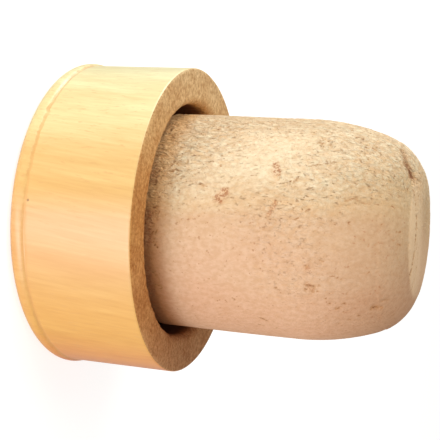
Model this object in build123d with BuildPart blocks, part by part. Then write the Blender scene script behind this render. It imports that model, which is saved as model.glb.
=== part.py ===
from build123d import *

import os
from math import cos, radians, sin

# Wooden bottle stopper: a turned wooden cap with a natural cork plug glued into a
# recess in its underside. It stands on the cap's flat outer face, with the cork up:
# +Z runs up the common axis, and z = 0 is that outer face. All lengths are millimetres.

# ---- driving dimensions --------------------------------------------------------------

# cork plug
cork_diameter = 21.0          # straight stretch of the plug
cork_exposed = 23.0           # from the cap's underside to the plug's free end
foot_relief = 0.3             # the glued foot is ground this much under, all round
foot_chamfer = 0.3            # broken edge of the glued foot
shoulder_radius = 20.5        # long, easy curve where the plug starts to close in
shoulder_turn = 20.5          # degrees turned on that long curve
nose_radius = 6.1             # tighter curve from the shoulder to the flat free end

# wooden cap
cap_height = 12.0             # along the axis
rim_width = 3.5               # wood between the recess wall and the cap's side
recess_depth = 6.0            # blind recess that takes the cork's foot
recess_clearance = 1.0        # between the cork and the recess wall, all round
mouth_radius = 0.8            # worn, rounded mouth of the recess
edge_break = 0.15             # light sanding of the underside's outer edge
bead_radius = 1.05            # round bead turned on the outer face's edge
bead_proud = 0.2              # how far the bead stands out past the cap's side

# ---- worked out from them ------------------------------------------------------------

cork_radius = cork_diameter / 2
recess_radius = cork_radius + recess_clearance
cap_radius = recess_radius + rim_width
foot_radius = cork_radius - foot_relief
recess_floor = cap_height - recess_depth
cork_top = cap_height + cork_exposed

# ---- wooden cap ----------------------------------------------------------------------
# Half section in the XZ plane, x outwards and z up, turned once round the axis.

bead_centre_x = cap_radius + bead_proud - bead_radius
bead_crown_x = cap_radius + bead_proud
crease_rise = (bead_radius**2 - (bead_radius - bead_proud) ** 2) ** 0.5
crease_z = bead_radius + crease_rise
underside_edge_x = cap_radius - edge_break
mouth_edge_x = recess_radius + mouth_radius
quarter = cos(radians(45))

with BuildPart() as wooden_cap:
    with BuildSketch(Plane.XZ):
        with BuildLine():
            Line((0, 0), (bead_centre_x, 0))
            ThreePointArc(
                (bead_centre_x, 0),
                (bead_centre_x + bead_radius * quarter, bead_radius * (1 - quarter)),
                (bead_crown_x, bead_radius),
            )
            ThreePointArc(
                (bead_crown_x, bead_radius),
                (
                    bead_centre_x + (bead_radius**2 - (crease_rise / 2) ** 2) ** 0.5,
                    bead_radius + crease_rise / 2,
                ),
                (cap_radius, crease_z),
            )
            Polyline(
                (cap_radius, crease_z),
                (cap_radius, cap_height - edge_break),
                (underside_edge_x, cap_height),
                (mouth_edge_x, cap_height),
            )
            ThreePointArc(
                (mouth_edge_x, cap_height),
                (
                    mouth_edge_x - mouth_radius * quarter,
                    cap_height - mouth_radius * (1 - quarter),
                ),
                (recess_radius, cap_height - mouth_radius),
            )
            Polyline(
                (recess_radius, cap_height - mouth_radius),
                (recess_radius, recess_floor),
                (0, recess_floor),
                (0, 0),
            )
        make_face()
    revolve(axis=Axis.Z)
wooden_cap.part.label = "wooden_cap"

# ---- cork plug -----------------------------------------------------------------------
# The foot stands on the recess floor, up to the cap's underside. Above it, two arcs, each
# tangent to what comes before it, close the straight stretch in to the flat free end.

turn = radians(shoulder_turn)
half_turn = turn / 2
nose_half = (turn + radians(90)) / 2
shoulder_z = cork_top - shoulder_radius * sin(turn) - nose_radius * (1 - sin(turn))
shoulder_centre_x = cork_radius - shoulder_radius
nose_centre_x = shoulder_centre_x + (shoulder_radius - nose_radius) * cos(turn)
nose_centre_z = cork_top - nose_radius
nose_start = (
    nose_centre_x + nose_radius * cos(turn),
    nose_centre_z + nose_radius * sin(turn),
)

with BuildPart() as cork_plug:
    with BuildSketch(Plane.XZ):
        with BuildLine():
            Polyline(
                (0, recess_floor),
                (foot_radius - foot_chamfer, recess_floor),
                (foot_radius, recess_floor + foot_chamfer),
                (foot_radius, cap_height),
                (cork_radius, cap_height),
                (cork_radius, shoulder_z),
            )
            ThreePointArc(
                (cork_radius, shoulder_z),
                (
                    shoulder_centre_x + shoulder_radius * cos(half_turn),
                    shoulder_z + shoulder_radius * sin(half_turn),
                ),
                nose_start,
            )
            ThreePointArc(
                nose_start,
                (
                    nose_centre_x + nose_radius * cos(nose_half),
                    nose_centre_z + nose_radius * sin(nose_half),
                ),
                (nose_centre_x, cork_top),
            )
            Polyline((nose_centre_x, cork_top), (0, cork_top), (0, recess_floor))
        make_face()
    revolve(axis=Axis.Z)
cork_plug.part.label = "cork_plug"

# ---- one STEP file per piece ---------------------------------------------------------

os.makedirs("parts", exist_ok=True)
export_step(wooden_cap.part, "parts/wooden_cap.step")
export_step(cork_plug.part, "parts/cork_plug.step")

print("cap diameter", round(2 * cap_radius, 2), "over the bead", round(2 * bead_crown_x, 2))
print("straight cork above the cap", round(shoulder_z - cap_height, 2))
print("flat free end radius", round(nose_centre_x, 2))
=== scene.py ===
# %% [markdown]
# # A wooden bottle stopper
# A short turned beech cap with a round bead, and a natural cork plug glued into a recess
# in its underside. The stopper stands on its cap with the cork up, and Z is the common
# axis. The first cell loads the measured model, which gives every size that follows.

import math
import random

import bpy
import numpy as np
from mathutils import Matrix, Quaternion, Vector, noise


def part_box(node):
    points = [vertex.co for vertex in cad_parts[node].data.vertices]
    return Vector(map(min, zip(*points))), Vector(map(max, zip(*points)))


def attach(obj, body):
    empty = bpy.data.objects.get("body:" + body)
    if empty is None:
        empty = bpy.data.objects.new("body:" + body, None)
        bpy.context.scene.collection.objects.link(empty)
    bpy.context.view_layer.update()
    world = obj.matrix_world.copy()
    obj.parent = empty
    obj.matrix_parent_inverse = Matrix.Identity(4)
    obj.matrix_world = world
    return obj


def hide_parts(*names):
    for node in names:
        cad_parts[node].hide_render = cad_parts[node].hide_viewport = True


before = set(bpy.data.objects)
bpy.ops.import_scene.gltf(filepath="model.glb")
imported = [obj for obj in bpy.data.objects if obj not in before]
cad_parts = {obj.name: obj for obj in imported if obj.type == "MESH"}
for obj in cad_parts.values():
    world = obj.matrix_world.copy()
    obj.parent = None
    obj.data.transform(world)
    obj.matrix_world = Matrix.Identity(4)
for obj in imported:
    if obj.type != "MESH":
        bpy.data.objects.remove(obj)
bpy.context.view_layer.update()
MM = 0.001
_, cap_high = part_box("wooden_cap")
_, cork_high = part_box("cork_plug")
cap_height = cap_high.z / MM
cork_top = cork_high.z / MM
cork_radius = cork_high.x / MM
bead_crown = cap_high.x / MM
bpy.ops.object.select_all(action="DESELECT")
print("cap", round(2 * bead_crown, 2), "mm over the bead,", round(cap_height, 2), "mm high")
print("cork", round(2 * cork_radius, 2), "mm thick, top at", round(cork_top, 2), "mm")

# %% [markdown]
# Three small helpers are used all through. Colours are written as sRGB hex codes, the way
# a designer picks them, and Blender's shaders want linear light, so one function converts
# them. One function adds a node with its settings and links, and one deselects everything,
# because operators act on all that is selected.

# %% Helpers for colours and nodes
def colour(code):
    """Linear RGBA from an sRGB hex code such as F3C27A."""
    parts = [int(code[i : i + 2], 16) / 255 for i in (0, 2, 4)]
    linear = [p / 12.92 if p <= 0.04045 else ((p + 0.055) / 1.055) ** 2.4 for p in parts]
    return (*linear, 1.0)


def add(tree, kind, inputs=None, **settings):
    """Add a node; settings are its own options, inputs are values or sockets to link."""
    node = tree.nodes.new(kind)
    for name, value in settings.items():
        setattr(node, name, value)
    for name, value in (inputs or {}).items():
        if isinstance(value, bpy.types.NodeSocket):
            tree.links.new(value, node.inputs[name])
        else:
            node.inputs[name].default_value = value
    return node


def rest_selection():
    """Leave edit mode if need be, and deselect everything."""
    if bpy.context.object and bpy.context.object.mode != "OBJECT":
        bpy.ops.object.mode_set(mode="OBJECT")
    bpy.ops.object.select_all(action="DESELECT")


# %% [markdown]
# The camera looks slightly down on the stopper from the side and is rolled a quarter turn,
# so the cork points to the right of the picture. It is placed as a photographer would say
# it: what it aims at, how far away it stands, from which side, how high, and how far the
# camera is tilted on its own axis.

# %% Camera
AIM = Vector((-0.24, 0.006, 14.913)) * MM
CAMERA_DISTANCE = 96.42 * MM
CAMERA_TURN = math.radians(1.345)
CAMERA_HEIGHT = math.radians(18.563)
CAMERA_ROLL = math.radians(94.22)
LENS = 79.95

sight = Vector(
    (
        math.sin(CAMERA_TURN) * math.cos(CAMERA_HEIGHT),
        math.cos(CAMERA_TURN) * math.cos(CAMERA_HEIGHT),
        -math.sin(CAMERA_HEIGHT),
    )
)
level = sight.to_track_quat("-Z", "Y")
camera_data = bpy.data.cameras.new("camera")
camera_data.lens = LENS
camera_data.sensor_width = 36
camera_data.clip_start = 0.005
camera = bpy.data.objects.new("camera", camera_data)
bpy.context.scene.collection.objects.link(camera)
camera.location = AIM - sight * CAMERA_DISTANCE
camera.rotation_mode = "QUATERNION"
camera.rotation_quaternion = level @ Quaternion((0, 0, 1), CAMERA_ROLL)
bpy.context.scene.camera = camera
print("camera at", [round(c / MM, 1) for c in camera.location], "mm")

# %% [markdown]
# Product light for pale wood is large and soft. Two softboxes light the cream side: one hangs
# high over it, and one stands further out, at the height of the cork and a little behind.
# That side is the bright one, and the cap's rim shades the cork beside it. A third fills from
# low in front on the other side, and a small pinkish one, lower still, gives the satin
# varnish its broad sheen. An even pale sky does the rest.

# %% Lights and world
def softbox(name, spot, aim, size, power, tint):
    """A square area lamp at a place in millimetres, turned to look at another."""
    lamp_data = bpy.data.lights.new(name, "AREA")
    lamp_data.shape = "SQUARE"
    lamp_data.size = size * MM
    lamp_data.energy = power
    lamp_data.color = colour(tint)[:3]
    lamp = bpy.data.objects.new(name, lamp_data)
    bpy.context.scene.collection.objects.link(lamp)
    lamp.location = Vector(spot) * MM
    turn = (Vector(aim) - Vector(spot)).to_track_quat("-Z", "Y")
    lamp.rotation_mode = "QUATERNION"
    lamp.rotation_quaternion = turn
    print(name, "box", size, "mm wide,", power, "W")


softbox("side_light", (-160, -60, 260), (0, 0, 14), 160, 0.35, "FFFFFF")
softbox("back_light", (-280, 60, 60), (0, 0, 14), 140, 0.41, "FFFFFF")
softbox("front_light", (110, -250, -30), (0, 0, 14), 140, 0.37, "FFFFFF")
softbox("sheen_light", (45, -253, -130), (0, 0, 8), 90, 0.15, "FFE2EA")

world = bpy.data.worlds.new("pale_room")
bpy.context.scene.world = world
world.use_nodes = True
sky = world.node_tree.nodes["Background"]
sky.inputs["Color"].default_value = colour("FFFFFF")
sky.inputs["Strength"].default_value = 0.48
bpy.context.scene.view_settings.view_transform = "Standard"

# %% [markdown]
# The floor is a plain pale board. To the camera it also glows a little, so that it reads as
# a white studio sweep, and what light the lamps add on top still shows the soft shadow. It
# lets the low softboxes shine through, as if they stood at the table's edge.

# %% Floor
FLOOR_GLOW = 1.52

rest_selection()
bpy.ops.mesh.primitive_plane_add(size=4.0, location=(0, 0, 0))
floor = bpy.context.object
floor.name = "floor"
floor.visible_shadow = False
floor.visible_glossy = False
paper = bpy.data.materials.new("white_paper")
paper.use_nodes = True
tree = paper.node_tree
tree.nodes.clear()
ray = add(tree, "ShaderNodeLightPath")
matt = add(tree, "ShaderNodeBsdfDiffuse", {"Color": colour("FCF6F0")})
glow = add(tree, "ShaderNodeEmission", {"Color": colour("FFFFFF"), "Strength": FLOOR_GLOW})
share = add(
    tree,
    "ShaderNodeMath",
    {0: ray.outputs["Is Camera Ray"], 1: 0.5},
    operation="MULTIPLY",
)
matt_or_glow = add(
    tree,
    "ShaderNodeMixShader",
    {0: share.outputs[0], 1: matt.outputs[0], 2: glow.outputs[0]},
)
add(tree, "ShaderNodeOutputMaterial", {"Surface": matt_or_glow.outputs[0]})
floor.data.materials.append(paper)
print("floor", "4 m square at z = 0")

# %% [markdown]
# Both pieces are turned on a lathe in real life, and both are made that way here. A half
# outline is pulled out of a single vertex, one extrude after another, and spun once round
# the axis. The outline's long stretches and its arcs are filled with evenly spaced points,
# close enough to carve small marks into the surface afterwards.

# %% Outlines and turning
def line(start, end, step):
    """Points from start to end, at most a step apart, without the start itself."""
    start, end = Vector(start), Vector(end)
    count = max(1, math.ceil((end - start).length / step))
    return [start.lerp(end, (i + 1) / count) for i in range(count)]


def arc(centre, radius, start, end, step):
    """Points on an arc, angles in degrees, at most a step apart, without the start."""
    span = math.radians(end - start)
    count = max(1, math.ceil(abs(span) * radius / step))
    points = []
    for i in range(count):
        angle = math.radians(start) + span * (i + 1) / count
        points.append(Vector(centre) + radius * Vector((math.cos(angle), math.sin(angle))))
    return points


def turn_piece(name, outline, steps):
    """Trace the half outline of (distance from axis, height) in mm and spin it."""
    rest_selection()
    bpy.ops.mesh.primitive_plane_add(size=MM, location=(0, 0, 0))
    piece = bpy.context.object
    piece.name = name
    piece.data.name = name
    bpy.ops.object.mode_set(mode="EDIT")
    bpy.ops.mesh.select_all(action="SELECT")
    bpy.ops.mesh.merge(type="CENTER")
    places = [Vector((p.x, 0, p.y)) * MM for p in outline]
    bpy.ops.transform.translate(value=places[0])
    for here, there in zip(places, places[1:]):
        bpy.ops.mesh.extrude_region_move(TRANSFORM_OT_translate={"value": there - here})
    bpy.ops.mesh.select_all(action="SELECT")
    bpy.ops.mesh.spin(steps=steps, angle=math.tau, center=(0, 0, 0), axis=(0, 0, 1))
    bpy.ops.mesh.select_all(action="SELECT")
    bpy.ops.mesh.remove_doubles(threshold=0.002 * MM)
    bpy.ops.mesh.normals_make_consistent(inside=False)
    bpy.ops.object.mode_set(mode="OBJECT")
    bpy.ops.object.shade_smooth()
    print(name, len(piece.data.vertices), "vertices,", len(piece.data.polygons), "faces")
    return piece


def read_vertices(piece):
    """Places and outward normals of all vertices, places in millimetres."""
    count = len(piece.data.vertices)
    places = np.empty(count * 3)
    normals = np.empty(count * 3)
    piece.data.vertices.foreach_get("co", places)
    piece.data.vertices.foreach_get("normal", normals)
    return places.reshape(-1, 3) / MM, normals.reshape(-1, 3)


def write_vertices(piece, places):
    """Put the vertices at new places, given in millimetres."""
    piece.data.vertices.foreach_set("co", (places * MM).ravel())
    piece.data.update()


def ripple(places, size, seed=0.0):
    """Smooth noise between -1 and 1 at each place; size is one wave in mm, by axis."""
    spread = places / np.array(size) + seed
    return np.array([noise.noise(p) for p in spread.tolist()])


def smooth_step(x, low, high):
    """0 below low, 1 above high, and an easy ramp between."""
    t = np.clip((x - low) / (high - low), 0, 1)
    return t * t * (3 - 2 * t)


# %% [markdown]
# ## The wooden cap
# The cap is a slice of dowel: a flat outer face, a small half-round bead at its edge, a
# straight side, a flat underside and a drilled recess with a worn mouth. The outline runs
# from the middle of the outer face round the bead and up the side to the bottom of the
# recess.

# %% Turn the cap
CAP_RADIUS = 15.0
BEAD_RADIUS = 1.05
RECESS_RADIUS = 11.5
RECESS_FLOOR = 6.0
MOUTH_RADIUS = 0.8
EDGE_BREAK = 0.15
CAP_STEPS = 420

bead_x = bead_crown - BEAD_RADIUS
bead_end = math.degrees(math.acos((CAP_RADIUS - bead_x) / BEAD_RADIUS))
crease_z = BEAD_RADIUS * (1 + math.sin(math.radians(bead_end)))
cap_outline = [Vector((0, 0))]
cap_outline += line((0, 0), (bead_x, 0), 1.6)
cap_outline += arc((bead_x, BEAD_RADIUS), BEAD_RADIUS, -90, bead_end, 0.12)
cap_outline += line((CAP_RADIUS, crease_z), (CAP_RADIUS, crease_z + 0.5), 0.07)
cap_outline += line((CAP_RADIUS, crease_z + 0.5), (CAP_RADIUS, cap_height - 0.5), 0.3)
cap_outline += line((CAP_RADIUS, cap_height - 0.5), (CAP_RADIUS, cap_height - EDGE_BREAK), 0.12)
cap_outline += line(
    (CAP_RADIUS, cap_height - EDGE_BREAK), (CAP_RADIUS - EDGE_BREAK, cap_height), 0.08
)
mouth_x = RECESS_RADIUS + MOUTH_RADIUS
cap_outline += line((CAP_RADIUS - EDGE_BREAK, cap_height), (mouth_x, cap_height), 0.16)
mouth_centre = (mouth_x, cap_height - MOUTH_RADIUS)
cap_outline += arc(mouth_centre, MOUTH_RADIUS, 90, 180, 0.1)
cap_outline += line(
    (RECESS_RADIUS, cap_height - MOUTH_RADIUS), (RECESS_RADIUS, cap_height - 2), 0.14
)
cap_outline += line((RECESS_RADIUS, cap_height - 2), (RECESS_RADIUS, RECESS_FLOOR), 0.8)
cap_outline += line((RECESS_RADIUS, RECESS_FLOOR), (0, RECESS_FLOOR), 2.0)
cap = turn_piece("beech_cap", cap_outline, CAP_STEPS)

# %% [markdown]
# A lathe tool leaves the little groove beside the bead slightly ragged, and a drill tears
# the end grain round the recess. The cap's vertices are nudged by fractions of a
# millimetre to give both, the underside is roughed up, and the outer face stays flat.

# %% Tool marks on the cap
GROOVE_DEPTH = 0.02
GROOVE_WIDTH = 0.16
FUZZ_HEIGHT = 0.035
TEAR_DEPTH = 0.09

places, normals = read_vertices(cap)
reach = np.hypot(places[:, 0], places[:, 1])
height = places[:, 2]
on_side = (reach > CAP_RADIUS - 0.05) & (height < cap_height - 0.4)
near_crease = np.exp(-(((height - crease_z) / GROOVE_WIDTH) ** 2)) * on_side
wander = ripple(places, (1.6, 1.6, 1.6), 3.0) + 0.6 * ripple(places, (0.6, 0.6, 0.6), 9.0)
groove = GROOVE_DEPTH + GROOVE_DEPTH * np.clip(wander, -0.6, 1)
moved = places - normals * (near_crease * groove)[:, None]
moved[:, 2] += 0.045 * near_crease * ripple(places, (2.4, 2.4, 2.4), 17.0)

underside = smooth_step(height, cap_height - 1.2, cap_height - 0.05) * (reach < CAP_RADIUS - 0.2)
fuzz = FUZZ_HEIGHT * ripple(places, (0.45, 0.45, 0.45), 5.0)
fuzz += 0.02 * ripple(places, (0.2, 0.2, 0.2))
moved += normals * (underside * fuzz)[:, None]

mouth = np.exp(-(((reach - RECESS_RADIUS) / 0.5) ** 2)) * (height > cap_height - 2.2)
torn = ripple(places, (0.5, 0.5, 2.5), 21.0)
moved += normals * (TEAR_DEPTH * mouth * torn * (reach < CAP_RADIUS - 1))[:, None]
write_vertices(cap, moved)
print("crease at", round(crease_z, 2), "mm, up to", round(float(groove.max()), 2), "mm deep")

# %% [markdown]
# Beech is pale, close grained and slightly orange once it is varnished. Its grain runs
# nearly along the axis here, tilted a few degrees, and shows as broad soft streaks with
# fine fibres and short flecks. Each of the three is one noise, stretched along the grain.
# Real fibres are about 0.02 mm wide: they are drawn 0.3 mm wide, as coarse as they need to
# be to show at all.

# %% Varnished beech: the grain
GRAIN_TILT = math.radians(7)
# waves in a millimetre across and along the grain, and the noise's own settings
BEECH_GRAIN = {
    "streaks": (0.42, 0.035, {"Detail": 3.0, "Distortion": 0.4}),
    "fibres": (3.2, 0.16, {"Detail": 4.0, "Roughness": 0.6}),
    "flecks": (5.5, 0.9, {"Detail": 2.0}),
}


def new_material(name):
    """A material with an empty Principled surface."""
    material = bpy.data.materials.new(name)
    material.use_nodes = True
    tree = material.node_tree
    tree.nodes.clear()
    surface = add(tree, "ShaderNodeBsdfPrincipled")
    add(tree, "ShaderNodeOutputMaterial", {"Surface": surface.outputs[0]})
    return material, tree, surface


# beech, Fagus: close and even to the eye, pale yellow to orange under its varnish
varnished_beech, tree, surface = new_material("varnished_beech")
spot = add(tree, "ShaderNodeTexCoord").outputs["Object"]
axes = add(tree, "ShaderNodeSeparateXYZ", {0: spot})
grain = add(
    tree,
    "ShaderNodeMapping",
    {"Vector": spot, "Rotation": (0, -GRAIN_TILT, 0), "Scale": (1 / MM, 1 / MM, 1 / MM)},
)
beech = {}
for name, (across, along, settings) in BEECH_GRAIN.items():
    stretch = {"Vector": grain.outputs[0], "Scale": (across, across, along)}
    stretched = add(tree, "ShaderNodeMapping", stretch)
    pattern = {"Vector": stretched.outputs[0], "Scale": 1.0, **settings}
    beech[name] = add(tree, "ShaderNodeTexNoise", pattern).outputs[0]
print("beech grain:", ", ".join(beech))

# %% [markdown]
# The colour drifts across the cap from pale yellow to orange, so the ground is a ramp along
# X. It is partly the wood's own drift from sapwood to heartwood and partly painted light: its
# pale yellow end stands for the brightly lit -X side, and its bluer stop in the middle is a
# painted sheen, the broad band where the satin varnish shines. The streaks and the fibres
# only darken it a little, which is a multiply, and the flecks are a colour of their own,
# which is a mix.

# %% Varnished beech: the colours
# painted light in the stops: the pale ones stand for the brightly lit side, and the bluer one at
# 0.5 is the painted sheen band
BEECH_DRIFT_AND_PAINTED_LIGHT = (
    (0.2, "F7F1B9"),
    (0.3, "F2D490"),
    (0.42, "F0CD83"),
    (0.5, "EFC98F"),
    (0.57, "EDC384"),
    (0.7, "EABD74"),
    (0.87, "F2C065"),
)

side = add(
    tree,
    "ShaderNodeMapRange",
    {"Value": axes.outputs["X"], "From Min": -CAP_RADIUS * MM, "From Max": CAP_RADIUS * MM},
)
ground = add(tree, "ShaderNodeValToRGB", {"Fac": side.outputs[0]})
# the pale yellow end is partly painted light on the bright -X side
ground.color_ramp.elements[0].color = colour("F7F7C2")
ground.color_ramp.elements[1].color = colour("F18E24")
for place, code in BEECH_DRIFT_AND_PAINTED_LIGHT:
    ground.color_ramp.elements.new(place).color = colour(code)
wood = ground.outputs[0]

# each tone: the pattern, where its ramp starts and ends, the dark colour
for name, low, high, code in (
    ("streaks", 0.3, 0.7, "F3E3CC"),
    ("fibres", 0.25, 0.75, "EFDFC9"),
):
    tone = add(tree, "ShaderNodeValToRGB", {"Fac": beech[name]})
    tone.color_ramp.elements[0].position = low
    tone.color_ramp.elements[0].color = colour(code)
    tone.color_ramp.elements[1].position = high
    tone.color_ramp.elements[1].color = colour("FFFFFF")
    toned = add(
        tree,
        "ShaderNodeMix",
        {"Factor": 0.75, 6: wood, 7: tone.outputs[0]},
        data_type="RGBA",
        blend_type="MULTIPLY",
    )
    wood = toned.outputs[2]
print("drift in", len(BEECH_DRIFT_AND_PAINTED_LIGHT) + 2, "steps, streaks and fibres over it")

# %% [markdown]
# Three small things lie on top: the flecks, a tan-brown line of painted shade in the crease
# beside the bead, and one dark pore. Each has a mask, which is where it lies and how strongly,
# and a colour.

# %% Varnished beech: flecks, crease and pore
CAP_PORE = (-1.10, -14.96, 1.95)
CREASE_SHADE_HALF_WIDTH = 0.15

fleck = add(
    tree,
    "ShaderNodeMapRange",
    {"Value": beech["flecks"], "From Min": 0.6, "From Max": 0.72, "To Max": 0.4},
    interpolation_type="SMOOTHSTEP",
)
crumbs = add(tree, "ShaderNodeTexNoise", {"Vector": spot, "Scale": 1400.0, "Detail": 2.0})
ragged_height = add(
    tree,
    "ShaderNodeMath",
    {0: crumbs.outputs[0], 1: 0.4 * MM, 2: axes.outputs["Z"]},
    operation="MULTIPLY_ADD",
)
# painted shade: a ragged tan-brown line along the crease beside the bead
in_crease = add(
    tree,
    "ShaderNodeMath",
    {0: ragged_height.outputs[0], 1: (crease_z + 0.2) * MM, 2: CREASE_SHADE_HALF_WIDTH * MM},
    operation="COMPARE",
)
crease_shade = add(
    tree,
    "ShaderNodeMath",
    {0: in_crease.outputs[0], 1: crumbs.outputs[0]},
    operation="MULTIPLY",
)
from_pore = add(
    tree,
    "ShaderNodeVectorMath",
    {0: spot, 1: [c * MM for c in CAP_PORE]},
    operation="DISTANCE",
)
pore = add(
    tree,
    "ShaderNodeMapRange",
    {
        "Value": from_pore.outputs["Value"],
        "From Min": 0.05 * MM,
        "From Max": 0.16 * MM,
        "To Min": 0.8,
        "To Max": 0.0,
    },
)
# the flecks and the pore are the wood's own colour, and the crease line is painted shade
for mask, code in ((fleck, "DDA765"), (crease_shade, "E0A65C"), (pore, "7A4A20")):
    laid = add(
        tree,
        "ShaderNodeMix",
        {"Factor": mask.outputs[0], 6: wood, 7: colour(code)},
        data_type="RGBA",
        blend_type="MIX",
    )
    wood = laid.outputs[2]
tree.links.new(wood, surface.inputs["Base Color"])
print("crease line", 2 * CREASE_SHADE_HALF_WIDTH, "mm wide at", round(crease_z + 0.2, 2), "mm")

# %% [markdown]
# Satin varnish is a thin clear film over the wood, so it is the shader's coat: three
# quarters strong, and rough enough for one wide, faint sheen. The fibres stand up under it
# by some hundredths of a millimetre.

# %% Varnished beech: the varnish
relief = add(
    tree,
    "ShaderNodeBump",
    {"Strength": 0.12, "Distance": 0.05 * MM, "Height": beech["fibres"]},
)
tree.links.new(relief.outputs[0], surface.inputs["Normal"])
surface.inputs["Roughness"].default_value = 0.5
surface.inputs["IOR"].default_value = 1.5
surface.inputs["Coat Weight"].default_value = 0.75
surface.inputs["Coat Roughness"].default_value = 0.32
print(varnished_beech.name, len(tree.nodes), "nodes")

# %% [markdown]
# The underside and the recess are bare end grain, cut across by the saw and the drill. It
# drinks light: matt, browner than the side, with a short fur of torn fibres. The fur is
# drawn about 0.3 mm coarse, several times its real size, and a slow noise blotches it.

# %% Raw beech end grain: colours
END_GRAIN_DRIFT = ((0.2, "EDC78D"), (0.36, "E2AE6C"), (0.5, "D8A05C"), (0.8, "D79E60"))

raw_beech, tree, surface = new_material("raw_beech_end_grain")
spot = add(tree, "ShaderNodeTexCoord").outputs["Object"]
axes = add(tree, "ShaderNodeSeparateXYZ", {0: spot})
in_mm = {"Vector": spot, "Scale": (1 / MM, 1 / MM, 1 / MM)}
mm = add(tree, "ShaderNodeMapping", in_mm).outputs[0]
fur_waves = {"Vector": mm, "Scale": 3.2, "Detail": 5.0, "Roughness": 0.65}
fur = add(tree, "ShaderNodeTexNoise", fur_waves).outputs[0]
blotch = add(tree, "ShaderNodeTexNoise", {"Vector": mm, "Scale": 0.35, "Detail": 2.0}).outputs[0]
side = add(
    tree,
    "ShaderNodeMapRange",
    {"Value": axes.outputs["X"], "From Min": -CAP_RADIUS * MM, "From Max": CAP_RADIUS * MM},
)
ground = add(tree, "ShaderNodeValToRGB", {"Fac": side.outputs[0]})
ground.color_ramp.elements[0].color = colour("F3DAAA")
ground.color_ramp.elements[1].color = colour("E3B384")
for place, code in END_GRAIN_DRIFT:
    ground.color_ramp.elements.new(place).color = colour(code)
wood = ground.outputs[0]
for pattern, code in ((fur, "BEA284"), (blotch, "F0E4D8")):
    tone = add(tree, "ShaderNodeValToRGB", {"Fac": pattern})
    tone.color_ramp.elements[0].position = 0.3
    tone.color_ramp.elements[0].color = colour(code)
    tone.color_ramp.elements[1].position = 0.7
    tone.color_ramp.elements[1].color = colour("FFFFFF")
    toned = add(
        tree,
        "ShaderNodeMix",
        {"Factor": 1.0, 6: wood, 7: tone.outputs[0]},
        data_type="RGBA",
        blend_type="MULTIPLY",
    )
    wood = toned.outputs[2]
print("end grain drifts in", len(END_GRAIN_DRIFT) + 2, "steps")

# %% [markdown]
# Down in the recess the colour turns dark brown with depth, as painted shade of the deep
# recess. Bare wood has hardly any gloss, only a deep, fine relief.

# %% Raw beech end grain: recess and relief
# painted shade: dark brown towards the floor of the recess
depth = add(
    tree,
    "ShaderNodeMapRange",
    {
        "Value": axes.outputs["Z"],
        "From Min": (cap_height - 1.6) * MM,
        "From Max": (cap_height - 0.35) * MM,
        "To Min": 1.0,
        "To Max": 0.0,
    },
    interpolation_type="SMOOTHSTEP",
)
recess_shade = add(
    tree,
    "ShaderNodeMix",
    {"Factor": depth.outputs[0], 6: wood, 7: colour("7A4E30")},
    data_type="RGBA",
    blend_type="MIX",
)
tree.links.new(recess_shade.outputs[2], surface.inputs["Base Color"])
relief = add(tree, "ShaderNodeBump", {"Strength": 0.6, "Distance": 0.1 * MM, "Height": fur})
tree.links.new(relief.outputs[0], surface.inputs["Normal"])
surface.inputs["Roughness"].default_value = 0.9
surface.inputs["Specular IOR Level"].default_value = 0.25
print(raw_beech.name, len(tree.nodes), "nodes")

# %% [markdown]
# The varnish covers the outer face, the bead and the side. Everything inside the sanded
# edge and above the bead is bare, so those faces take the second material.

# %% Finish the cap
cap.data.materials.append(varnished_beech)
cap.data.materials.append(raw_beech)
raw_faces = 0
for face in cap.data.polygons:
    centre = face.center / MM
    inside = math.hypot(centre.x, centre.y) < CAP_RADIUS - EDGE_BREAK * 0.5
    if inside and centre.z > 1.0:
        face.material_index = 1
        raw_faces += 1
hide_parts("wooden_cap")
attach(cap, "root")
print("bare end grain on", raw_faces, "faces")

# %% [markdown]
# ## The cork plug
# The plug is punched from cork bark and ground to shape: a straight shank, a long easy
# shoulder and a rounded nose that ends in a small flat. The outline is filled with points
# 0.15 mm apart from the cap's underside up, fine enough for pits and wrinkles to be real
# dents. The foot that is glued into the recess needs only a few.

# %% Turn the plug
FOOT_RADIUS = cork_radius - 0.3
FOOT_TOP = cap_height - 2.2
SHANK_START = cap_height - 1.6
SHOULDER_RADIUS = 20.5
SHOULDER_TURN = 20.5
NOSE_RADIUS = 6.1
CORK_STEP = 0.15
CORK_STEPS = 430

lean = math.sin(math.radians(SHOULDER_TURN))
shoulder_z = cork_top - SHOULDER_RADIUS * lean - NOSE_RADIUS * (1 - lean)
shoulder_centre = (cork_radius - SHOULDER_RADIUS, shoulder_z)
upright = math.cos(math.radians(SHOULDER_TURN))
nose_x = shoulder_centre[0] + (SHOULDER_RADIUS - NOSE_RADIUS) * upright
nose_centre = (nose_x, cork_top - NOSE_RADIUS)
cork_outline = [Vector((0, RECESS_FLOOR))]
cork_outline += line((0, RECESS_FLOOR), (FOOT_RADIUS, RECESS_FLOOR), 4)
cork_outline += line((FOOT_RADIUS, RECESS_FLOOR), (FOOT_RADIUS, FOOT_TOP), 1.5)
cork_outline += line((FOOT_RADIUS, FOOT_TOP), (cork_radius, SHANK_START), 0.3)
cork_outline += line((cork_radius, SHANK_START), (cork_radius, shoulder_z), CORK_STEP)
cork_outline += arc(shoulder_centre, SHOULDER_RADIUS, 0, SHOULDER_TURN, CORK_STEP)
cork_outline += arc(nose_centre, NOSE_RADIUS, SHOULDER_TURN, 90, CORK_STEP)
cork_outline += line((nose_x, cork_top), (0, cork_top), CORK_STEP)
cork = turn_piece("cork_plug_body", cork_outline, CORK_STEPS)

# %% [markdown]
# Cork is never plain. The placed marks are the ones that give this plug its face: a brown
# chipped hollow at the edge of the free end, long wavy creases, dark pores, reddish knots
# of lenticels and patches of brown dots. A place on the surface is given by the angle round
# the axis in degrees and the height in millimetres. A stroke runs between two such places.

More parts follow.
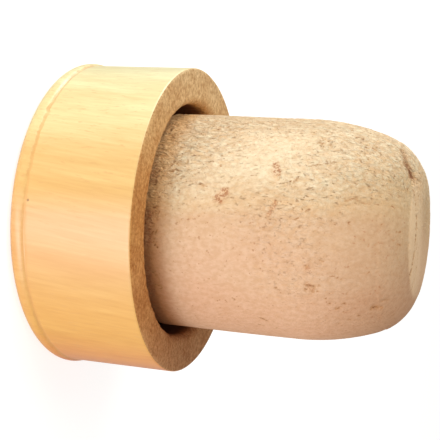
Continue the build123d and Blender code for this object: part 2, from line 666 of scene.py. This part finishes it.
# %% Placed marks
outline_reaches = [p.x for p in cork_outline]
outline_heights = [p.y for p in cork_outline]
first_exposed = next(i for i, p in enumerate(cork_outline) if p.x >= cork_radius - 0.001)
last_round = next(i for i, p in enumerate(cork_outline) if p.y >= cork_top - 0.001)


def on_cork(angle, height):
    """A place on the cork's side or nose, from its angle and its height."""
    reach = np.interp(
        height,
        outline_heights[first_exposed : last_round + 1],
        outline_reaches[first_exposed : last_round + 1],
    )
    turn = math.radians(angle)
    return np.array((reach * math.cos(turn), reach * math.sin(turn), height))


# strokes: from, to, half width, depth and darkness
STROKES = [
    ((-160, 32.8), (-150, 33.4), 0.58, 0.16, 0.48),
    ((-151, 33.4), (-144, 34.0), 0.72, 0.30, 0.58),
    ((-148, 33.8), (-144, 34.1), 0.30, 0.14, 0.80),
    ((-123, 25.6), (-125, 26.7), 0.10, 0.06, 0.50),
    ((-125, 26.7), (-128, 27.9), 0.10, 0.07, 0.45),
    ((-107, 29.1), (-109, 29.8), 0.09, 0.08, 0.48),
    ((-109, 29.8), (-107, 30.6), 0.09, 0.07, 0.42),
    ((-107, 30.6), (-108, 31.9), 0.09, 0.05, 0.35),
    ((-110, 28.2), (-108, 29.1), 0.08, 0.04, 0.25),
    ((-64, 26.2), (-63, 26.9), 0.09, 0.06, 0.60),
    ((-69, 28.4), (-67, 29.2), 0.08, 0.05, 0.55),
    ((-86, 33.4), (-85, 33.8), 0.08, 0.05, 0.55),
    ((-46, 31.6), (-44, 32.2), 0.26, 0.07, 0.34),
    ((-49, 32.4), (-48, 32.8), 0.15, 0.07, 0.35),
    ((-39, 21.6), (-37, 22.1), 0.12, 0.07, 0.60),
    ((-32, 21.2), (-31, 21.6), 0.12, 0.07, 0.50),
    ((-110, 15.7), (-109, 16.8), 0.12, 0.06, 0.45),
]
# pores: single dark holes
PORES = [
    (-131, 22.3), (-115, 23.3), (-113, 25.6), (-147, 24.9), (-111, 15.7), (-137, 12.3),
    (-130, 13.4), (-121, 29.5), (-115, 31.0), (-127, 33.8), (-167, 32.5), (-95, 28.5),
    (-96, 29.6), (-95, 30.4), (-97, 32.2), (-85, 31.3), (-85, 31.8), (-77, 17.3),
    (-70, 19.0), (-50, 25.3), (-61, 23.5), (-73, 26.3), (-84, 20.5), (-58, 29.6),
]
# reddish lenticel knots: from, to, half width and redness
KNOTS = [
    ((-106, 18.5), (-103, 18.1), 0.52, 1.0),
    ((-122, 22.7), (-118, 22.9), 0.40, 1.0),
    ((-103, 23.3), (-97, 22.8), 0.26, 0.8),
    ((-64, 26.3), (-62, 26.7), 0.32, 0.6),
    ((-93, 11.6), (-80, 11.7), 0.55, 0.9),
    ((-64, 11.4), (-50, 11.4), 0.50, 0.8),
    ((-118, 11.5), (-110, 11.7), 0.50, 0.7),
    ((-73, 26.2), (-72, 26.4), 0.25, 0.7),
    ((-46, 31.8), (-44, 32.2), 0.40, 0.4),
]
# patches of brown dots: angle, height, half length round and along, number of dots
SPECKLED = [
    (-139.5, 26.4, 3.6, 0.75, 15),
    (-120, 12.9, 5.0, 0.9, 12),
    (-146, 16.6, 4.0, 1.2, 13),
    (-148, 30.2, 5.0, 1.1, 14),
    (-45, 31.9, 3.0, 0.5, 12),
    (-62, 26.6, 2.5, 0.7, 9),
    (-52, 27.8, 6.0, 1.6, 8),
    (-40, 30.0, 4.0, 1.4, 7),
    (-92, 33.2, 4.0, 0.5, 7),
    (-94, 12.3, 4.0, 0.35, 14),
    (-82, 12.3, 6.0, 0.35, 14),
    (-60, 12.3, 7.0, 0.35, 14),
]
print(len(STROKES), "strokes,", len(PORES), "pores,", len(KNOTS), "knots,", end=" ")
print(len(SPECKLED), "speckled patches")

# %% [markdown]
# Carving is done in numbers. Every vertex gets a dent, how far it is pushed in, a stain, how
# brown its bottom is, and a blush, how red the cork is there. A stroke raises the dent and
# the stain round its line with a bell-shaped falloff, and a noise makes its edge ragged. One
# slow noise says where the bark is coarse, and the cream side is coarser than the pink one.

# %% Carve the placed marks
BARK_WAVE = (7.0, 7.0, 9.0)
BARK_SEED = 41.0

rng = random.Random(11)
places, normals = read_vertices(cork)
exposed = places[:, 2] > cap_height - 1.5
slow = ripple(places, BARK_WAVE, BARK_SEED)
coarse = smooth_step(0.6 * slow - 0.06 * places[:, 0], -0.45, 0.8)
ragged = ripple(places, (0.35, 0.35, 0.45), 2.0)
dent = np.zeros(len(places))
stain = np.zeros(len(places))
blush = np.zeros(len(places))


def stroke(start, end, half_width, depth, dark):
    """Press one ragged-edged stroke into the surface and stain its bottom."""
    middle = (start + end) / 2
    reach = np.linalg.norm(end - start) / 2 + 3 * half_width + 0.3
    near = np.flatnonzero(np.abs(places - middle).max(axis=1) < reach)
    if len(near) == 0:
        return
    run = end - start
    along = np.clip((places[near] - start) @ run / max(run @ run, 1e-9), 0, 1)
    away = np.linalg.norm(places[near] - start - along[:, None] * run, axis=1)
    fall = np.exp(-((away / half_width * (1 + 0.45 * ragged[near])) ** 2))
    dent[near] = np.maximum(dent[near], depth * fall)
    stain[near] = np.maximum(stain[near], dark * fall)


for start, end, half_width, depth, dark in STROKES:
    stroke(on_cork(*start), on_cork(*end), half_width, depth, dark)
for angle, height in PORES:
    spot = on_cork(angle, height)
    stroke(spot, spot, rng.uniform(0.09, 0.13), rng.uniform(0.05, 0.09), rng.uniform(0.4, 0.75))
for angle, height, round_about, along_axis, dots in SPECKLED:
    for _ in range(dots):
        dot_angle = angle + rng.uniform(-1, 1) * round_about
        dot_height = height + rng.uniform(-1, 1) * along_axis
        spot = on_cork(dot_angle, dot_height)
        half_width = rng.uniform(0.10, 0.16)
        stroke(spot, spot, half_width, rng.uniform(0.03, 0.07), rng.uniform(0.35, 0.75))
for start, end, half_width, redness in KNOTS:
    start, end = on_cork(*start), on_cork(*end)
    run = end - start
    along = np.clip((places - start) @ run / (run @ run), 0, 1)
    away = np.linalg.norm(places - start - along[:, None] * run, axis=1)
    spread = 1 - smooth_step(away + 0.2 * ragged, half_width * 0.5, half_width * 1.3)
    blush = np.maximum(blush, redness * spread)
print("placed marks are up to", round(float(dent.max()), 2), "mm deep")

# %% [markdown]
# The rest is scattered by a seeded random generator, so it is the same every time: a few
# hundred small pits and short cracks, mostly along the axis, all round the plug. They gather
# where the bark was coarse. Wrinkles and grit are noises, and a slow swell takes away the
# lathe-like evenness.

# %% Scatter marks, wrinkle and swell
SCATTER_TRIES = 900
WRINKLE_WAVE = (0.6, 0.6, 0.8)
WRINKLE_DEPTH = 0.055
SWELL_HEIGHT = 0.05

kept = 0
for _ in range(SCATTER_TRIES):
    angle = rng.uniform(-180, 180)
    height = rng.uniform(cap_height - 0.6, cork_top - 0.15)
    spot = on_cork(angle, height)
    slow_here = noise.noise((spot / np.array(BARK_WAVE) + BARK_SEED).tolist())
    bark = 0.6 * slow_here - 0.07 * spot[0]
    if rng.random() > 0.10 + 1.1 * max(0.0, bark - 0.1):
        continue
    size = rng.random() ** 2
    length = 0.04 + 0.34 * size
    slant = rng.gauss(0, 5)
    other = on_cork(angle + slant * length, min(height + length, cork_top - 0.1))
    half_width = rng.uniform(0.07, 0.11)
    stroke(spot, other, half_width, rng.uniform(0.015, 0.04), rng.uniform(0.25, 0.65))
    kept += 1

wrinkle = np.clip(1 - np.abs(ripple(places, WRINKLE_WAVE, 13.0)) * 3.6, 0, 1)
wrinkle *= 0.1 + 0.9 * coarse
grit = ripple(places, (0.3, 0.3, 0.36), 29.0)
dent += WRINKLE_DEPTH * wrinkle + (0.006 + 0.012 * coarse) * grit
dent += blush * 0.05 * (0.5 + grit)
swell = SWELL_HEIGHT * ripple(places, (5.0, 5.0, 8.0), 51.0)
print(kept, "scattered marks,", "deepest dent", round(float(dent.max()), 2), "mm")

# %% [markdown]
# The free end was sliced flat before the shoulder was ground, so it keeps a faint round
# rim, and the growth rings of the bark cross it as straight rows of pits. The rim is a tiny
# step, sharpest at the front. The rows are plainest near the front edge, and break up and
# fade further in.

# %% Free end of the cork
END_CENTRE = np.array((-0.45, -0.25))
END_RADIUS = 6.15
RIM_STEP = 0.05
RING_ROWS = (-5.0, -3.6, -0.6, 3.9)
ROW_WIDTH = 0.15
END_DISH = 0.16
END_CORNER = 0.08

from_end = np.hypot(places[:, 0] - END_CENTRE[0], places[:, 1] - END_CENTRE[1])
on_top = places[:, 2] > cork_top - 3
rim_blur = 0.35 * smooth_step(places[:, 1], -4.0, 0.0)
rim_inside = END_RADIUS - 0.12 - rim_blur
rim_outside = END_RADIUS + 0.04 + rim_blur
inside_end = on_top * (1 - smooth_step(from_end + 0.05 * ragged, rim_inside, rim_outside))
dent += RIM_STEP * (1 - inside_end) * smooth_step(places[:, 2], cork_top - 3.0, cork_top - 1.0)
ring = np.zeros(len(places))
for row in RING_ROWS:
    wave = row + 0.05 * ripple(places, (1.5, 1.5, 1.5), row)
    ring = np.maximum(ring, np.exp(-(((places[:, 1] - wave) / ROW_WIDTH) ** 2)))
beads = smooth_step(ripple(places, (0.32, 0.32, 0.32), 63.0), -0.25, 0.15)
fade = 1 - 0.6 * smooth_step(places[:, 1], -4.2, -2.0)
patchy = smooth_step(ripple(places, (2.6, 2.6, 2.6), 77.0), -0.35, 0.25)
whole = smooth_step(-places[:, 1], 3.0, 4.6)
rows = ring * inside_end * fade * (patchy + (1 - patchy) * whole)
dent += rows * (0.03 + 0.06 * beads)
stain = np.maximum(stain, rows * (0.22 + 0.4 * beads))
print("free end rim", END_RADIUS, "mm in radius, rows at", RING_ROWS)

# %% [markdown]
# Now all of it is pressed into the mesh at once. The end sags a little in the middle, and
# the corner round it is a little fuller than the turned outline. Two attributes keep what
# was carved for the material to read: one colour attribute with stain, blush, coarseness
# and wrinkles in its four channels, and one number for the sliced end, which counts for
# less towards the back.

# %% Press it in and keep the marks
rise = smooth_step(places[:, 2], cap_height, cap_height + 3)
reach = np.hypot(places[:, 0], places[:, 1])
moved = places - normals * (dent * exposed)[:, None]
moved += normals * (swell * exposed * rise)[:, None]
moved[:, 2] -= END_DISH * on_top * (1 - smooth_step(reach, 3.5, 7.0))
corner = on_top * np.exp(-(((reach - 7.8) / 1.3) ** 2))
moved += normals * (END_CORNER * corner)[:, None]
write_vertices(cork, moved)

marks = cork.data.color_attributes.new("cork_marks", "FLOAT_COLOR", "POINT")
paint = np.stack((np.clip(stain, 0, 1), np.clip(blush, 0, 1), coarse, wrinkle), axis=1)
marks.data.foreach_set("color", paint.ravel())
ends = cork.data.attributes.new("sliced_end", "FLOAT", "POINT")
paler_front = 1 - 0.6 * smooth_step(places[:, 1], -4.0, 0.0)
ends.data.foreach_set("value", inside_end * paler_front)
print("attributes cork_marks and sliced_end on", len(places), "vertices")

# %% [markdown]
# Ground cork is dry and matt. Its colour drifts from cream to a pinkish tan across the
# bark, with a fine mottle, short dark cracks along the axis, scattered brown dust, browned
# pits and reddish specks in the knots. The carved wrinkles are browned, partly the cork's
# own colour and partly painted shade, and the creases and valleys of the crepe get painted
# shade. The attributes carry what was carved, and noise sized in millimetres adds what is
# finer than the mesh. Cork cells are about 0.04 mm across: their mottle is drawn at 0.2 to
# 0.4 mm, coarse enough to show.

# %% Natural cork: patterns
# waves in a millimetre across and along the axis, and the noise's own settings
CORK_PATTERNS = {
    "drift": (0.16, 0.07, {"Detail": 2.0}),
    "mottle": (2.6, 1.9, {"Detail": 4.0, "Roughness": 0.6}),
    "crepe": (2.6, 1.35, {"Detail": 3.0, "Roughness": 0.6, "Distortion": 0.9}),
    "cracks": (4.2, 2.2, {"Detail": 3.0, "Roughness": 0.55}),
    "dust": (3.4, 2.8, {"Detail": 2.0}),
    "specks": (5.2, 4.0, {"Detail": 3.0, "Distortion": 0.8}),
    "frayed": (6.0, 4.0, {"Detail": 2.0}),
    "grain": (5.0, 4.0, {"Detail": 2.0}),
}

# cork oak bark, punched and ground: matt, cream to pinkish tan, with dark lenticels
natural_cork, tree, surface = new_material("natural_cork")
spot = add(tree, "ShaderNodeTexCoord").outputs["Object"]
in_mm = {"Vector": spot, "Scale": (1 / MM, 1 / MM, 1 / MM)}
mm = add(tree, "ShaderNodeMapping", in_mm).outputs[0]
axes = add(tree, "ShaderNodeSeparateXYZ", {0: mm})
cork_look = {}
for name, (across, along, settings) in CORK_PATTERNS.items():
    stretched = add(tree, "ShaderNodeMapping", {"Vector": mm, "Scale": (across, across, along)})
    pattern = {"Vector": stretched.outputs[0], "Scale": 1.0, **settings}
    cork_look[name] = add(tree, "ShaderNodeTexNoise", pattern).outputs[0]
print("cork patterns:", ", ".join(cork_look))

# %% [markdown]
# Some masks need a sum first. The drift of colour is the place across the plug plus a slow
# noise, so that it isn't a straight border. A crease is where the crepe noise is near its
# middle, whichever side it lies on. A torn edge is the stain plus a noise, so that a pit's
# brown frays out.

# %% Natural cork: carved marks and sums
carved = add(tree, "ShaderNodeAttribute", attribute_name="cork_marks")
channels = add(tree, "ShaderNodeSeparateColor", {0: carved.outputs["Color"]})
sliced = add(tree, "ShaderNodeAttribute", attribute_name="sliced_end")
cork_look["stain"] = channels.outputs[0]
cork_look["blush"] = channels.outputs[1]
cork_look["coarse"] = channels.outputs[2]
# the wrinkle depth, browned in the colour: partly the cork's own brown, partly painted shade
cork_look["brown_and_shaded_wrinkles"] = carved.outputs["Alpha"]
cork_look["sliced"] = sliced.outputs["Fac"]
cork_look["across"] = axes.outputs["X"]
cork_look["height"] = axes.outputs["Z"]
# each sum: its name, first times second plus third
for name, first, second, third in (
    ("drifted", "drift", 9.0, "across"),
    ("torn", "frayed", 0.9, "stain"),
):
    total = add(
        tree,
        "ShaderNodeMath",
        {0: cork_look[first], 1: second, 2: cork_look[third]},
        operation="MULTIPLY_ADD",
    )
    cork_look[name] = total.outputs[0]
middle = add(tree, "ShaderNodeMath", {0: cork_look["crepe"], 1: 0.5}, operation="SUBTRACT")
either_side = add(tree, "ShaderNodeMath", {0: middle.outputs[0]}, operation="ABSOLUTE")
cork_look["off_middle"] = either_side.outputs[0]
print(len(cork_look), "values to make masks from")

# %% [markdown]
# A mask turns a value into a share between 0 and 1, with an easy ramp from where it starts
# to where it is full. Where two have to hold at once, such as a crease on coarse bark, the
# two shares are multiplied.

# %% Natural cork: masks
# each mask: its name, the value it reads, where it is 0 and where it is 1
CORK_MASKS = (
    ("pinkish", "drifted", -6.0, 15.0),
    ("away_from_cap", "height", 22.0, 36.0),
    ("off_the_cream_side", "across", -10.0, -3.0),
    ("far_side_of_shade", "across", -8.0, 8.0),
    ("near_cap", "height", 14.2, cap_height - 0.2),
    ("mottled", "mottle", 0.7, 0.3),
    ("crease", "off_middle", 0.05, 0.0),
    ("valley", "crepe", 0.5, 0.36),
    ("crack", "cracks", 0.62, 0.7),
    ("cracked_bark", "coarse", 0.0, 0.75),
    ("dusty", "dust", 0.66, 0.74),
    ("speck", "specks", 0.46, 0.56),
    ("pit_edge", "torn", 0.56, 0.86),
    ("pit_bottom", "torn", 0.82, 1.15),
)
# each pair: the new mask's name, and the two that it multiplies
CORK_PAIRS = (
    ("greyed_towards_end", "away_from_cap", "off_the_cream_side"),
    # the next two pairs lay painted shade into the crepe's creases and valleys
    ("shaded_coarse_crease", "crease", "coarse"),
    ("shaded_coarse_valley", "valley", "coarse"),
    ("crack_line", "crack", "cracked_bark"),
    ("red_speck", "blush", "speck"),
    ("coarse_crepe", "crepe", "coarse"),
)

for name, value, empty, full in CORK_MASKS:
    mask = add(
        tree,
        "ShaderNodeMapRange",
        {"Value": cork_look[value], "From Min": empty, "From Max": full},
        interpolation_type="SMOOTHSTEP",
    )
    cork_look[name] = mask.outputs[0]
for name, first, second in CORK_PAIRS:
    pair = {0: cork_look[first], 1: cork_look[second]}
    cork_look[name] = add(tree, "ShaderNodeMath", pair, operation="MULTIPLY").outputs[0]
print(len(CORK_MASKS), "masks and", len(CORK_PAIRS), "pairs")

# %% [markdown]
# Three ramps set the ground colour: the drift from cream to pink, a slight greying towards
# the free end away from the cream side, and the warm shade that the wooden rim throws on the
# cork beside it. The greying is multiplied onto the drift first. The shade comes after it, as
# one of the layers.

# %% Natural cork: ground colour
# each ramp: the mask that drives it and its stops
CORK_RAMPS = (
    (
        "pinkish",
        (
            (0.0, "F8E7C4"),
            (0.18, "F2E4C2"),
            (0.36, "EAD1AA"),
            (0.5, "E2C3A0"),
            (0.75, "E1BE9D"),
            (1.0, "DEB18F"),
        ),
    ),
    # greyer towards the free end, away from the cream side
    ("greyed_towards_end", ((0.15, "FFFFFF"), (0.8, "E2DAD0"))),
    ("far_side_of_shade", ((0.0, "FDE0BE"), (1.0, "D5B38C"))),
)

ramps = {}
for name, stops in CORK_RAMPS:
    ramp = add(tree, "ShaderNodeValToRGB", {"Fac": cork_look[name]})
    elements = ramp.color_ramp.elements
    for element, (place, code) in zip((elements[0], elements[1]), (stops[0], stops[-1])):
        element.position = place
        element.color = colour(code)
    for place, code in stops[1:-1]:
        elements.new(place).color = colour(code)
    ramps[name] = ramp.outputs[0]
print("ground colour from", ", ".join(ramps))

# %% [markdown]
# Then the colours are laid one over another, as a painter glazes. A multiply tints what is
# under it and a mix covers it, and each layer has a mask and a strength.

# %% Natural cork: layers of colour
# each layer: kind, mask, strength, and a colour or the name of a ramp
CORK_LAYERS = (
    ("MULTIPLY", "mottled", 0.6, "EADCCB"),
    ("MULTIPLY", "near_cap", 1.0, "far_side_of_shade"),
    ("MIX", "sliced", 0.62, "EBCBA2"),
    # partly the cork's own brown, partly painted shade in the carved wrinkles
    ("MIX", "brown_and_shaded_wrinkles", 0.34, "C68846"),
    # painted shade in the crepe's creases
    ("MIX", "shaded_coarse_crease", 0.3, "C98A45"),
    # painted shade in the crepe's valleys, where the bump is low
    ("MIX", "shaded_coarse_valley", 0.36, "DCA868"),
    ("MIX", "crack_line", 0.5, "AC6A30"),
    ("MIX", "dusty", 0.5, "A8683A"),
    ("MIX", "blush", 0.3, "D9A272"),
    ("MIX", "red_speck", 0.72, "A9683C"),
    ("MIX", "pit_edge", 0.55, "B5814E"),
    ("MIX", "pit_bottom", 0.85, "7E4C2A"),
)

greyed_towards_end = add(
    tree,
    "ShaderNodeMix",
    {"Factor": 1.0, 6: ramps["pinkish"], 7: ramps["greyed_towards_end"]},
    data_type="RGBA",
    blend_type="MULTIPLY",
)
bark = greyed_towards_end.outputs[2]
for kind, mask, strength, tint in CORK_LAYERS:
    scaled = {0: cork_look[mask], 1: strength}
    share = add(tree, "ShaderNodeMath", scaled, operation="MULTIPLY")
    over = ramps[tint] if tint in ramps else colour(tint)
    layer = {"Factor": share.outputs[0], 6: bark, 7: over}
    laid = add(tree, "ShaderNodeMix", layer, data_type="RGBA", blend_type=kind)
    bark = laid.outputs[2]
tree.links.new(bark, surface.inputs["Base Color"])
print(len(CORK_LAYERS), "layers of colour")

# %% [markdown]
# What is too fine to carve is bump: the crepe on coarse bark, a fine grain everywhere, and
# the cracks, which go in. Dry cork has next to no gloss.

# %% Natural cork: relief and gloss
CREPE_RISE = 2.6
GRAIN_RISE = 0.4
CRACK_SINK = 0.6

grain_part = add(
    tree,
    "ShaderNodeMath",
    {0: cork_look["grain"], 1: GRAIN_RISE},
    operation="MULTIPLY",
)
crack_part = add(
    tree,
    "ShaderNodeMath",
    {0: cork_look["crack_line"], 1: CRACK_SINK},
    operation="MULTIPLY",
)
raised = add(
    tree,
    "ShaderNodeMath",
    {0: cork_look["coarse_crepe"], 1: CREPE_RISE, 2: grain_part.outputs[0]},
    operation="MULTIPLY_ADD",
)
relief_height = add(
    tree,
    "ShaderNodeMath",
    {0: raised.outputs[0], 1: crack_part.outputs[0]},
    operation="SUBTRACT",
)
relief = add(
    tree,
    "ShaderNodeBump",
    {"Strength": 1.0, "Distance": 0.2 * MM, "Height": relief_height.outputs[0]},
)
tree.links.new(relief.outputs[0], surface.inputs["Normal"])
surface.inputs["Roughness"].default_value = 0.85
surface.inputs["Specular IOR Level"].default_value = 0.25
cork.data.materials.append(natural_cork)
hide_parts("cork_plug")
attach(cork, "root")
print(natural_cork.name, len(tree.nodes), "nodes")

# %% Leave nothing selected
rest_selection()
